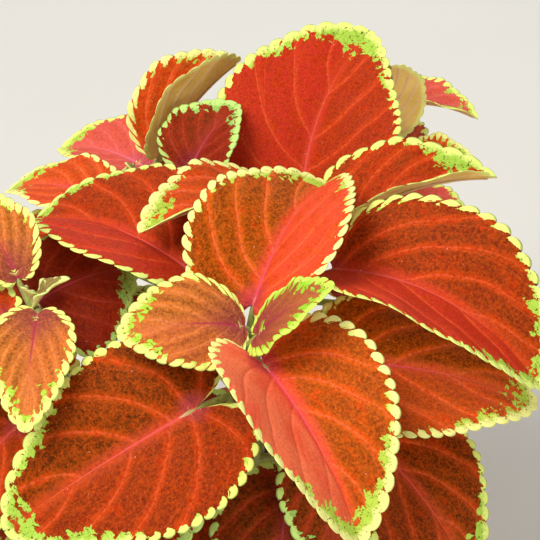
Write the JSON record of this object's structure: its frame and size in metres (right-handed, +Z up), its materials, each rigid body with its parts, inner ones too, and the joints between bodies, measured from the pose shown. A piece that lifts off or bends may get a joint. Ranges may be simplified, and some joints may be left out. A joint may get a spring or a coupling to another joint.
{
  "type": "potted coleus plant",
  "caption": "Bushy coleus with large scalloped red-orange leaves edged in yellow-green on green stems, growing in a plain round clay pot of soil.",
  "frame": {"origin": "middle of the pot's flat underside, where the pot stands", "axes": "+Z up; -Y is the front, where the lowest of the large leaves face; +X to the right seen from the front"},
  "size_m": [0.3104, 0.3456, 0.3204],
  "materials": {
    "leaf": "soft satin leaf, red-orange mottled with brown, yellow-green scalloped edge",
    "young_leaf": "soft satin young leaf, brown-orange with a wide yellow-green edge",
    "stem": "matt green square stem",
    "soil": "loose dark potting soil",
    "clay": "matt unglazed clay"
  },
  "bodies": {
    "root": {"pot": "clay", "soil": "soil", "stem_front": "stem", "stem_middle": "stem", "stem_left": "stem", "stem_back_left": "stem", "stem_back_right": "stem", "front_leaf_01": "young_leaf", "front_leaf_02": "young_leaf", "front_leaf_03": "leaf", "front_leaf_04": "leaf", "front_leaf_05": "leaf", "front_leaf_06": "leaf", "front_leaf_07": "leaf", "front_leaf_08": "leaf", "front_leaf_09": "young_leaf", "front_leaf_10": "leaf", "front_leaf_11": "young_leaf", "front_leaf_12": "leaf", "front_leaf_13": "leaf", "front_leaf_14": "leaf", "front_leaf_15": "leaf", "front_leaf_16": "leaf", "middle_leaf_01": "leaf", "middle_leaf_02": "leaf", "middle_leaf_03": "leaf", "middle_leaf_04": "leaf", "middle_leaf_05": "leaf", "left_leaf_01": "young_leaf", "left_leaf_02": "young_leaf", "left_leaf_03": "young_leaf", "left_leaf_04": "young_leaf", "left_leaf_05": "leaf", "left_leaf_06": "leaf", "left_leaf_07": "leaf", "left_leaf_08": "leaf", "back_left_leaf_01": "young_leaf", "back_left_leaf_02": "leaf", "back_left_leaf_03": "young_leaf", "back_left_leaf_04": "young_leaf", "back_left_leaf_05": "young_leaf", "back_left_leaf_06": "leaf", "back_left_leaf_07": "leaf", "back_left_leaf_08": "leaf", "back_right_leaf_01": "young_leaf", "back_right_leaf_02": "young_leaf", "back_right_leaf_03": "young_leaf", "back_right_leaf_04": "young_leaf", "back_right_leaf_05": "leaf", "back_right_leaf_06": "leaf", "back_right_leaf_07": "leaf", "back_right_leaf_08": "leaf"}
  },
  "joints": []
}
